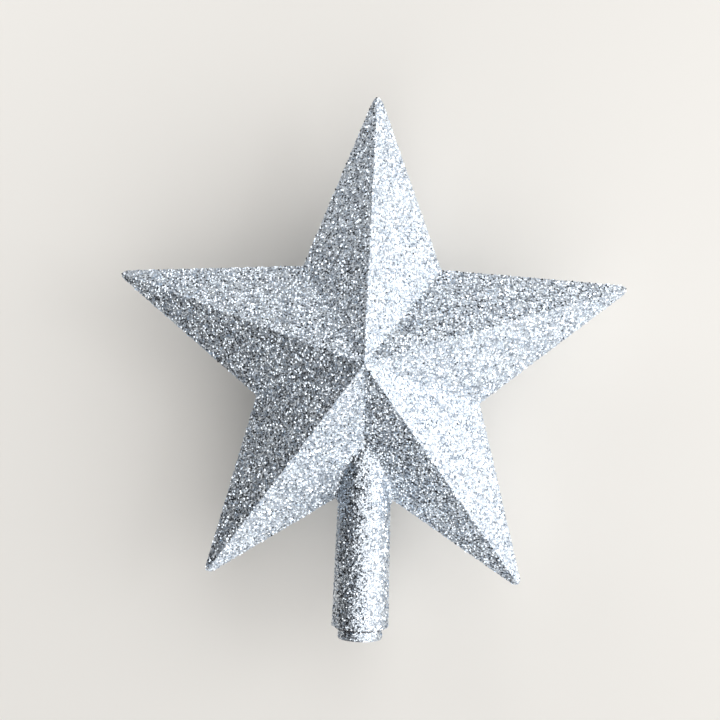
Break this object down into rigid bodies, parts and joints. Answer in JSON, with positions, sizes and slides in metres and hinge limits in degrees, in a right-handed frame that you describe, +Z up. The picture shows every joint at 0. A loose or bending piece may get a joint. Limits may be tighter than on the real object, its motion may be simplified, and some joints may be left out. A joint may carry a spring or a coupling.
{
  "type": "tree topper star",
  "caption": "Hollow faceted star covered in silver glitter, with a round socket at its foot that slips over the top shoot of a Christmas tree.",
  "frame": {"origin": "centre of the socket's mouth, at the lower end of the neck", "axes": "+Z up along the socket to the star's upper tip, the front face of the star towards -Y, +X to the right seen from the front"},
  "size_m": [0.1398, 0.043, 0.1496],
  "materials": {
    "shell_plastic": "moulded polystyrene, left rough as a key for the glitter lacquer",
    "liner_plastic": "moulded polystyrene, plain inside the bore",
    "clear_glue": "set clear glue",
    "silver_glitter": "small silver metallised film flakes set in lacquer, each flake a tiny mirror at its own tilt"
  },
  "bodies": {
    "root": {"front_shell": "shell_plastic", "rear_shell": "shell_plastic", "socket_liner": "liner_plastic", "seam_glue_bead": "clear_glue", "glitter_coat": "silver_glitter", "neck_glitter_coat": "silver_glitter"}
  },
  "joints": []
}
